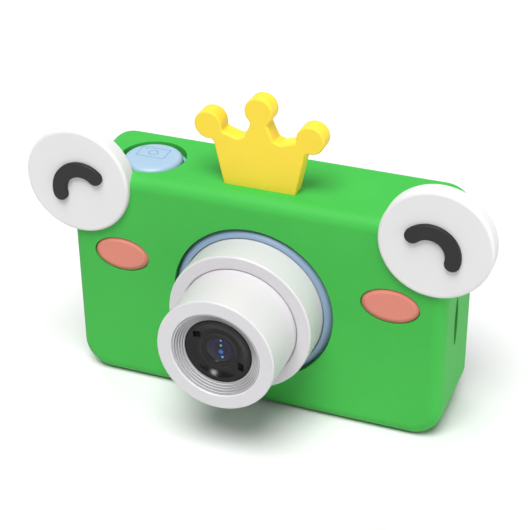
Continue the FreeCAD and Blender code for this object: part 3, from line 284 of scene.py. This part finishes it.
def glass_with_painted_reflections():
    """Dark lens glass with a painted purple reflection halo and painted bright reflections of lights,
    placed by distance.
    """
    material = surface("glass_with_painted_reflections", (0.008, 0.008, 0.012), 0.07, depth=0.0, spread=0.02,
                       Specular_IOR_Level=0.3)
    tree = material.node_tree
    shader = tree.nodes["Principled BSDF"]
    colour = shader.inputs["Base Color"].links[0].from_socket
    where = tree.nodes.new("ShaderNodeTexCoord")
    middle = middle_of("front_lens")
    # paint a purple reflection ring round the middle of the lens
    past_painted_halo = tree.nodes.new("ShaderNodeMath")
    past_painted_halo.operation = "SUBTRACT"
    past_painted_halo.inputs[1].default_value = PAINTED_HALO_RADIUS * MM
    tree.links.new(away_from(tree, where, middle, *PAINTED_HALO_AT), past_painted_halo.inputs[0])
    off_painted_halo = tree.nodes.new("ShaderNodeMath")
    off_painted_halo.operation = "ABSOLUTE"
    tree.links.new(past_painted_halo.outputs[0], off_painted_halo.inputs[0])
    colour = paint_near(tree, colour, off_painted_halo.outputs[0], PAINTED_HALO_WIDTH / 2, PAINTED_HALO_COLOUR)
    # paint bright reflections of lights as spots on the glass
    for x, rise, radius, tint in PAINTED_REFLECTION_SPOTS:
        colour = paint_near(tree, colour, away_from(tree, where, middle, x, rise), radius, tint)
    tree.links.new(colour, shader.inputs["Base Color"])
    return material


def away_from(tree, where, middle, x, rise):
    """How far a point is from an axis along Y, given in millimetres from a middle."""
    flat = tree.nodes.new("ShaderNodeVectorMath")
    flat.operation = "MULTIPLY"
    flat.inputs[1].default_value = (1, 0, 1)
    tree.links.new(where.outputs["Object"], flat.inputs[0])
    gap = tree.nodes.new("ShaderNodeVectorMath")
    gap.operation = "DISTANCE"
    gap.inputs[1].default_value = (middle.x + x * MM, 0, middle.z + rise * MM)
    tree.links.new(flat.outputs["Vector"], gap.inputs[0])
    return gap.outputs["Value"]


def paint_near(tree, colour, gap, reach, tint):
    """Blend a tint over a colour where a gap is less than a reach in millimetres."""
    fade = tree.nodes.new("ShaderNodeMapRange")
    fade.interpolation_type = "SMOOTHSTEP"
    fade.inputs["From Min"].default_value = reach * MM
    fade.inputs["From Max"].default_value = reach * MM / SPOT_CORE
    tree.links.new(gap, fade.inputs["Value"])
    blend = tree.nodes.new("ShaderNodeMix")
    blend.data_type = "RGBA"
    blend.inputs["B"].default_value = (*tint, 1)
    tree.links.new(fade.outputs["Result"], blend.inputs["Factor"])
    tree.links.new(colour, blend.inputs["A"])
    return blend.outputs["Result"]


def noise(tree, where, scale, detail):
    """Noise fixed to the object, with so many cells a metre."""
    texture = tree.nodes.new("ShaderNodeTexNoise")
    texture.inputs["Scale"].default_value = scale
    texture.inputs["Detail"].default_value = detail
    tree.links.new(where.outputs["Object"], texture.inputs["Vector"])
    return texture


def make_materials():
    """One material for each of the record's material slots, and for each finish of a fine piece."""
    soft = dict(grain=5200, depth=0.16, Specular_IOR_Level=0.3)
    moulded = dict(grain=4200, depth=0.07)
    finishes = {
        "green_silicone": dict(colour=(0.040, 0.405, 0.052), roughness=0.58, **soft),
        "white_silicone": dict(colour=(0.66, 0.66, 0.66), roughness=0.55, mottle=0.01, **soft),
        "black_silicone": dict(colour=(0.014, 0.014, 0.015), roughness=0.5, **soft),
        "pink_silicone": dict(colour=(0.63, 0.212, 0.155), roughness=0.55, **soft),
        "yellow_silicone": dict(colour=(0.82, 0.61, 0.042), roughness=0.5, **soft),
        "blue_plastic": dict(colour=(0.31, 0.45, 0.58), roughness=0.38, **moulded),
        # its slight pink tint paints out the green light that bounces onto the white parts from the
        # sleeve
        "white_plastic": dict(colour=(0.580, 0.568, 0.585), roughness=0.36, mottle=0.01, **moulded),
        "key_plastic": dict(colour=(0.86, 0.86, 0.86), roughness=0.32, mottle=0.01, **moulded),
        "black_plastic": dict(colour=(0.022, 0.022, 0.024), roughness=0.34, **moulded),
        "lens_glass": dict(colour=(0.92, 0.94, 1.0), roughness=0.02, mottle=0.01, spread=0.01,
                           depth=0.0, Transmission_Weight=1.0, IOR=1.52,
                           Specular_Tint=(0.4, 0.6, 1.0, 1)),
        # the case's blue, darkened to paint the shade in the collar's recess
        "ring_blue_painted_shade": dict(colour=(0.185, 0.275, 0.385), roughness=0.5, **moulded),
        # darker than the button's blue, to paint the shade along the embossed lines of its sign
        "sign_blue_painted_shade": dict(colour=(0.19, 0.31, 0.44), roughness=0.42, **moulded),
        "inner_glass": dict(colour=(0.03, 0.05, 0.30), roughness=0.08, mottle=0.3, spread=0.02,
                            depth=0.0, patch=400, Metallic=0.6, Coat_Weight=0.6),
        "gloss_black": dict(colour=(0.009, 0.009, 0.010), roughness=0.15, depth=0.0, spread=0.02,
                            Specular_IOR_Level=0.22),
        "dark_window": dict(colour=(0.003, 0.003, 0.003), roughness=0.6, **moulded,
                            Specular_IOR_Level=0.06),
        # painted shade for the roots of the steps in the lens's mouth
        "painted_step_shade": dict(colour=(0.28, 0.28, 0.29), roughness=0.5, **moulded),
        "print_grey": dict(colour=(0.12, 0.13, 0.14), roughness=0.5, depth=0.03),
        "sensor_glass": dict(colour=(0.02, 0.03, 0.05), roughness=0.08, depth=0.01),
        "display_glass": dict(colour=(0.006, 0.007, 0.011), roughness=0.12, depth=0.0, spread=0.02,
                              Specular_IOR_Level=0.25),
        "window_plastic": dict(colour=(0.9, 0.9, 0.92), roughness=0.02, depth=0.0, spread=0.01,
                               Transmission_Weight=1.0, IOR=1.16),
        "circuit_board": dict(colour=(0.012, 0.12, 0.05), roughness=0.3, patch=600, mottle=0.3),
        "flex_film": dict(colour=(0.55, 0.22, 0.03), roughness=0.25),
        "steel": dict(colour=(0.62, 0.62, 0.63), roughness=0.28, Metallic=1.0),
        "battery_foil": dict(colour=(0.66, 0.67, 0.70), roughness=0.35, Metallic=1.0),
        "lead_insulation": dict(colour=(0.5, 0.02, 0.02), roughness=0.45),
        "light_plastic": dict(colour=(0.8, 0.9, 0.82), roughness=0.15, depth=0.02,
                              Transmission_Weight=0.5),
        "card_plastic": dict(colour=(0.016, 0.016, 0.018), roughness=0.3, **moulded),
    }
    made = {name: surface(name, **finish) for name, finish in finishes.items()}
    made["glass_with_painted_reflections"] = glass_with_painted_reflections()
    return made


def dress(material_of):
    """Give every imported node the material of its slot, or its own finish where it has one."""
    for part in frame["record"]["subparts"]:
        mesh = nodes[part["node"]].data
        mesh.materials.clear()
        mesh.materials.append(material_of[FINISH_OF.get(part["node"], part["material_slot"])])


# ---- shape helpers ------------------------------------------------------------------------
def middle_of(node):
    """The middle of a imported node's box."""
    low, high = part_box(node)
    return (low + high) / 2


def add_piece(name, mesh, body, slot, finish=None):
    """Put a mesh in the scene as a piece that rides on a body, in its slot's material or its own."""
    thing = bpy.data.objects.new(name, mesh)
    bpy.context.scene.collection.objects.link(thing)
    mesh.materials.append(materials[finish or slot])
    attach(thing, body)
    return thing


def smooth_by_angle(mesh, degrees=CRISP):
    """Shade a mesh smooth, apart from its edges sharper than an angle."""
    shape = bmesh.new()
    shape.from_mesh(mesh)
    bmesh.ops.recalc_face_normals(shape, faces=shape.faces)
    for face in shape.faces:
        face.smooth = True
    for edge in shape.edges:
        edge.smooth = len(edge.link_faces) == 2 and edge.calc_face_angle() < math.radians(degrees)
    shape.to_mesh(mesh)
    shape.free()
    return mesh


def turned_mesh(name, profile, centre):
    """A closed ring about the lens direction; profile gives (radius, forward) in millimetres."""
    points, faces = [], []
    rows = len(profile)
    for step in range(TURN_STEPS):
        angle = 2 * math.pi * step / TURN_STEPS
        for radius, forward in profile:
            points.append((centre[0] + radius * MM * math.sin(angle), centre[1] - forward * MM,
                           centre[2] + radius * MM * math.cos(angle)))
        here, beside = step * rows, (step + 1) % TURN_STEPS * rows
        for row in range(rows):
            after = (row + 1) % rows
            faces.append((here + row, here + after, beside + after, beside + row))
    mesh = bpy.data.meshes.new(name)
    mesh.from_pydata(points, [], faces)
    return smooth_by_angle(mesh)


def slab_mesh(name, outline, rise, place, across, up):
    """A thin raised plate with bevelled edges: outline is in millimetres, along across and up."""
    normal = across.cross(up).normalized()
    shape = bmesh.new()
    corners = [shape.verts.new(place + across * (x * MM) + up * (y * MM)) for x, y in outline]
    base = shape.faces.new(corners)
    lifted = bmesh.ops.extrude_face_region(shape, geom=[base])["geom"]
    raised = [item for item in lifted if isinstance(item, bmesh.types.BMVert)]
    bmesh.ops.translate(shape, vec=normal * rise * MM, verts=raised)
    rim = [edge for edge in shape.edges if all(end in raised for end in edge.verts)]
    bmesh.ops.bevel(shape, geom=rim, offset=rise * MM / 2, segments=2, affect="EDGES", profile=0.5)
    return smooth_by_angle(mesh_of(name, shape))


def bead_mesh(name, lines, radius, place, across, up):
    """Thin raised beads along lines.

    Each line is (closed, points), with its points in millimetres along across and up."""
    curve = bpy.data.curves.new(name, "CURVE")
    curve.dimensions = "3D"
    curve.bevel_depth = radius * MM
    curve.bevel_resolution = 3
    curve.use_fill_caps = True
    for closed, points in lines:
        spline = curve.splines.new("POLY")
        spline.points.add(len(points) - 1)
        spline.use_cyclic_u = closed
        for vertex, (x, y) in zip(spline.points, points):
            vertex.co = (*(place + across * (x * MM) + up * (y * MM)), 1)
    drawn = bpy.data.objects.new(name, curve)
    mesh = bpy.data.meshes.new_from_object(drawn)
    bpy.data.objects.remove(drawn)
    bpy.data.curves.remove(curve)
    mesh.name = name
    return smooth_by_angle(mesh, CRISP_BEAD)


def cut_away(mesh, cutters):
    """The mesh less each cutter mesh."""
    work = bpy.data.objects.new("work", mesh)
    bpy.context.scene.collection.objects.link(work)
    tools = []
    for number, cutter in enumerate(cutters):
        tool = bpy.data.objects.new(f"tool_{number}", cutter)
        bpy.context.scene.collection.objects.link(tool)
        step = work.modifiers.new(f"cut_{number}", "BOOLEAN")
        step.operation = "DIFFERENCE"
        step.solver = "EXACT"
        step.object = tool
        tools.append(tool)
    whole = bpy.context.evaluated_depsgraph_get()
    result = bpy.data.meshes.new_from_object(work.evaluated_get(whole))
    for thing in [work] + tools:
        bpy.data.objects.remove(thing)
    return smooth_by_angle(result)


def box_mesh(name, centre, size):
    """A block about a point, with its sides given in millimetres."""
    shape = bmesh.new()
    bmesh.ops.create_cube(shape, size=1.0)
    bmesh.ops.scale(shape, vec=Vector(size) * MM, verts=shape.verts)
    bmesh.ops.translate(shape, vec=centre, verts=shape.verts)
    return mesh_of(name, shape)


def lofted_mesh(name, outlines, centre, front):
    """A pad that faces forward: each outline is (points across and up, forward), in millimetres."""
    shape = bmesh.new()
    rings = []
    for points, forward in outlines:
        rings.append([shape.verts.new((centre.x + x * MM, front - forward * MM, centre.z + y * MM))
                      for x, y in points])
    for one, two in zip(rings, rings[1:]):
        join_loops(shape, one, two)
    shape.faces.new(rings[0])
    shape.faces.new(rings[-1])
    return smooth_by_angle(mesh_of(name, shape), CRISP_PAD)


def join_loops(shape, one, two):
    """A band of faces between two closed loops of points."""
    for step in range(len(one)):
        beside = (step + 1) % len(one)
        shape.faces.new((one[step], one[beside], two[beside], two[step]))


def mesh_of(name, shape):
    """The shape as a mesh of its own; the shape itself is freed."""
    mesh = bpy.data.meshes.new(name)
    shape.to_mesh(mesh)
    shape.free()
    return mesh


def arc_points(radius, start, end, steps, x=0.0, y=0.0):
    """Points along a circle, from one angle in degrees to another."""
    angles = [math.radians(start + (end - start) * step / steps) for step in range(steps + 1)]
    return [(x + radius * math.cos(angle), y + radius * math.sin(angle)) for angle in angles]


def circle_points(radius, steps=CIRCLE_STEPS):
    """A whole circle, without its first point again at the end."""
    return arc_points(radius, 0, 360, steps)[:-1]


def rectangle(wide, high):
    """The corners of a rectangle about its middle, in turn."""
    return [(x * wide / 2, y * high / 2) for x, y in ((-1, -1), (1, -1), (1, 1), (-1, 1))]


def rounded_frame(half_wide, half_high, corner):
    """A rectangle with round corners, as points in turn."""
    points = []
    wide, high = half_wide - corner, half_high - corner
    for x, y, start in ((1, 1, 0), (-1, 1, 90), (-1, -1, 180), (1, -1, 270)):
        points += arc_points(corner, start, start + 90, CORNER_STEPS, x * wide, y * high)
    return points


def arch_outline(half, side):
    """The outline of an eye's arch with round ends, for a half width; side mirrors it."""
    x, y = ARCH_AT
    low, high = ARCH_ANGLES
    first, last = arc_points(ARCH_RADIUS, low, high, 1, x, y)
    points = arc_points(ARCH_RADIUS + half, low, high, ARC_STEPS, x, y)
    points += arc_points(half, high, high + 180, END_STEPS, *last)[1:-1]
    points += arc_points(ARCH_RADIUS - half, high, low, ARC_STEPS, x, y)
    points += arc_points(half, low + 180, low + 360, END_STEPS, *first)[1:-1]
    return [(side * across, up) for across, up in points]


def cheek_outline(inset, side):
    """An ellipse a little inside the edge of a cheek."""
    middle_x, middle_y = side * CHEEK_AT[0], CHEEK_AT[1]
    wide, high = [half - inset for half in CHEEK_HALF]
    return [(middle_x + wide * x, middle_y + high * y) for x, y in circle_points(1.0, CHEEK_STEPS)]


# ---- pieces -------------------------------------------------------------------------------
def lens_dish():
    """The glossy black dish in the mouth of the lens: rim, groove, bevel with two windows, and hub."""
    low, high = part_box("lens_plate")
    centre = middle_of("lens_plate")
    outer, back = (high.x - low.x) / 2 / MM, -(high.y - low.y) / MM
    wide, narrow = DISH_BEVEL
    start, end, deep = DISH_GROOVE
    ring_wide, ring_narrow, ring_high = DISH_RING
    hub = -DISH_SUNK
    profile = [
        (outer, back), (outer, -DISH_LIP), (outer - start, -DISH_LIP), (outer - start, -deep),
        (outer - end, -deep), (outer - end, -SOFT), (outer - end - SOFT, 0.0), (wide + SOFT, 0.0),
        (wide - SOFT, -SOFT), (narrow + SOFT, hub + SOFT / 2), (narrow - SOFT, hub), (ring_wide, hub),
        (ring_wide - SOFT, hub + ring_high), (ring_narrow + SOFT, hub + ring_high), (ring_narrow, hub),
        (LENS_RADIUS + SOFT, hub), (LENS_RADIUS, hub - SOFT), (LENS_RADIUS, back),
    ]
    disc = turned_mesh("lens_dish", profile, (centre.x, low.y, centre.z))
    windows = [box_mesh(f"window_{side}", window_place(side, 0.0), WINDOW_SIZE) for side in (-1, 1)]
    dish = add_piece("lens_dish", cut_away(disc, windows), "camera", "black_plastic", "gloss_black")
    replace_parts(dish, "lens_plate")


def window_place(side, depth):
    """The middle of one of the two windows, so many millimetres behind the rim of the dish."""
    centre = middle_of("lens_plate")
    across, up = side * WINDOW_AT[0] * MM, -side * WINDOW_AT[1] * MM
    return Vector((centre.x + across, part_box("lens_plate")[0].y + depth * MM, centre.z + up))


def window_pads():
    """Near-black, dull pads set back in the two windows of the dish, which keep the windows dark."""
    wide, _, high = WINDOW_SIZE
    for side, name in ((-1, "left_window_pad"), (1, "right_window_pad")):
        place = window_place(side, PAD_DEPTH)
        pad = slab_mesh(name, rectangle(wide, high), PAD_RISE, place, RIGHT, UP)
        add_piece(name, pad, "camera", "black_plastic", "dark_window")


def front_element():
    """The shallow coated dome in the middle of the dish, with painted reflections of lights on its
    glass.
    """
    centre = middle_of("lens_plate")
    edge = -DISH_SUNK - LENS_SUNK
    parts = [row / LENS_ROWS for row in range(LENS_ROWS + 1)]
    dome = [(LENS_RADIUS * part, edge + LENS_BULGE * (1 - part ** 2)) for part in parts]
    profile = [(0.0, -LENS_BACK)] + dome + [(LENS_RADIUS, -LENS_BACK)]
    mesh = turned_mesh("lens_with_painted_reflections", profile, (centre.x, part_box("lens_plate")[0].y, centre.z))
    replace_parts(add_piece("lens_with_painted_reflections", mesh, "camera", "lens_glass", "glass_with_painted_reflections"), "front_lens")


def trim_ring():
    """The collar round the root of the lens, which falls away to its outer edge; its darker blue paints
    the shade in its recess.
    """
    centre = middle_of("lens_trim_ring")
    inner, outer = RING_RADII
    shallow, deep = RING_DEPTHS
    inset, drop = RING_EDGE
    crest = inner + inset
    profile = [(outer, -RING_BACK), (inner, -RING_BACK), (inner, -shallow - drop)]
    for row in range(RING_ROWS + 1):
        part = row / RING_ROWS
        forward = -shallow - (deep - shallow) * part ** RING_FALL
        profile.append((crest + (outer - crest) * part, forward))
    mesh = turned_mesh("trim_ring", profile, (centre.x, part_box("silicone_sleeve")[0].y, centre.z))
    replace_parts(add_piece("trim_ring", mesh, "camera", "blue_plastic", "ring_blue_painted_shade"), "lens_trim_ring")


def paint_mouth_step_shade():
    """Grey rings of painted shade at the roots of the light-trapping steps in the mouth of the lens."""
    low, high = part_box("lens_plate")
    centre = middle_of("lens_plate")
    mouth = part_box("lens_inner_barrel")[0].y
    inner = (high.x - low.x) / 2 / MM
    sunk = (low.y - mouth) / MM
    half = STEP_SHADE_WIDTH / 2
    for number in range(STEP_SHADE_RINGS):
        part = number / STEP_SHADE_RINGS
        radius, forward = inner + (MOUTH_RADIUS - inner) * part, -sunk * (1 - part)
        near, far, back, front = radius - half, radius + half, forward - half, forward + half
        section = [(near, back), (far, back), (far, front), (near, front)]
        name = f"mouth_step_shade_{number + 1}"
        mesh = turned_mesh(name, section, (centre.x, mouth, centre.z))
        add_piece(name, mesh, "camera", "white_plastic", "painted_step_shade")


def eye_arches():
    """The domed black arch on each eye."""
    centre = middle_of("lens_plate")
    for side, name in ((-1, "left_eye"), (1, "right_eye")):
        outlines = [(arch_outline(ARCH_HALF - inset, side), forward) for inset, forward in ARCH_SECTION]
        mesh = lofted_mesh(name + "_arch", outlines, centre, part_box(name)[0].y)
        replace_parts(add_piece(name + "_arch", mesh, "camera", "black_silicone"), name + "_arc")


def cheek_pads():
    """The cheeks, with a broad shallow bevel inside their edge."""
    centre = middle_of("lens_plate")
    for side, name in ((-1, "left_cheek"), (1, "right_cheek")):
        outlines = [(cheek_outline(inset, side), forward) for inset, forward in CHEEK_SECTION]
        mesh = lofted_mesh(name + "_pad", outlines, centre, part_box(name)[0].y)
        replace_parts(add_piece(name + "_pad", mesh, "camera", "pink_silicone"), name)


def shutter_sign():
    """The camera sign that is embossed on the shutter button, in a darker blue that paints the shade
    along its lines.
    """
    top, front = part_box("shutter_button")[1].z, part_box("silicone_sleeve")[0].y
    place = Vector((SIGN_AT[0] * MM, front + SIGN_AT[1] * MM, top - SIGN_SUNK * MM))
    left, above = -SIGN_SIZE[0] / 2, SIGN_SIZE[1] / 2
    start, end, down = SIGN_MARK
    lines = [
        (True, rectangle(*SIGN_SIZE)),
        (True, circle_points(SIGN_LENS)),
        (False, [(left + start, above - down), (left + end, above - down)]),
    ]
    sign = bead_mesh("shutter_sign", lines, LINE, place, RIGHT, BACK)
    add_piece("shutter_sign", sign, "shutter", "blue_plastic", "sign_blue_painted_shade")


def key_signs():
    """A plain dark sign on each key of the back: arrows, power, menu and a double circle."""
    for quarter, name in enumerate(("up", "left", "down", "right")):
        turn = Matrix.Rotation(math.radians(90 * quarter), 2)
        spun = [tuple(turn @ Vector(corner)) for corner in ARROW]
        sign = slab_mesh(f"{name}_sign", spun, KEY_SIGN_RISE, key_top(name), LEFT, UP)
        add_piece(f"{name}_sign", sign, f"{name}_key", "key_plastic", "print_grey")
    drawn = {
        "power": [(False, arc_points(*POWER_ARC, ARC_STEPS)),
                  (False, [(0.0, height) for height in POWER_STROKE])],
        "menu": [(False, [(-MENU_HALF, y), (MENU_HALF, y)]) for y in (-MENU_STEP, 0.0, MENU_STEP)],
        "ok": [(True, circle_points(radius)) for radius in OK_RADII],
    }
    for name, lines in drawn.items():
        sign = bead_mesh(f"{name}_sign", lines, LINE, key_top(name), LEFT, UP)
        add_piece(f"{name}_sign", sign, f"{name}_key", "key_plastic", "print_grey")


def key_top(name):
    """The middle of a key's outer face, a little inside it."""
    centre = middle_of(f"{name}_button")
    return Vector((centre.x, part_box(f"{name}_button")[1].y - KEY_SIGN_SUNK * MM, centre.z))


def window_border():
    """The black print round the clear part of the window: a thin flat frame on its inner side."""
    low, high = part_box("display_window")
    centre = middle_of("display_window")
    half_wide, half_high = (high.x - low.x) / 2 / MM, (high.z - low.z) / 2 / MM
    outer = rounded_frame(half_wide - BORDER_MARGIN, half_high - BORDER_MARGIN, BORDER_CORNER)
    inner = rounded_frame(ACTIVE_SIZE[0] / 2, ACTIVE_SIZE[1] / 2, ACTIVE_CORNER)
    shape = bmesh.new()
    loops = []
    for depth in BORDER_DEPTHS:
        for line in (outer, inner):
            loops.append([shape.verts.new((centre.x + x * MM, low.y + depth * MM, centre.z + y * MM))
                          for x, y in line])
    front_outer, front_inner, back_outer, back_inner = loops
    sides = ((front_outer, front_inner), (back_inner, back_outer),
             (back_outer, front_outer), (front_inner, back_inner))
    for one, two in sides:
        join_loops(shape, one, two)
    mesh = smooth_by_angle(mesh_of("window_border", shape))
    add_piece("window_border", mesh, "camera", "black_plastic")


def socket_tongue():
    """The dark insulating sleeve on the tongue of the charging socket."""
    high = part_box("usb_socket")[1]
    centre = middle_of("usb_socket")
    place = Vector((high.x - (TONGUE_BACK + TONGUE_SIZE[0] / 2) * MM, centre.y, centre.z))
    add_piece("socket_tongue", box_mesh("socket_tongue", place, TONGUE_SIZE), "camera", "black_plastic")


# ---- the scene ----------------------------------------------------------------------------
materials = make_materials()
dress(materials)
lens_dish()
window_pads()
front_element()
trim_ring()
paint_mouth_step_shade()
eye_arches()
cheek_pads()
shutter_sign()
key_signs()
window_border()
socket_tongue()
make_camera()
make_world()
make_floor()
for name, (reach, width) in LIGHTS.items():
    make_light(name, reach, width)
bpy.context.scene.view_settings.view_transform = "Standard"
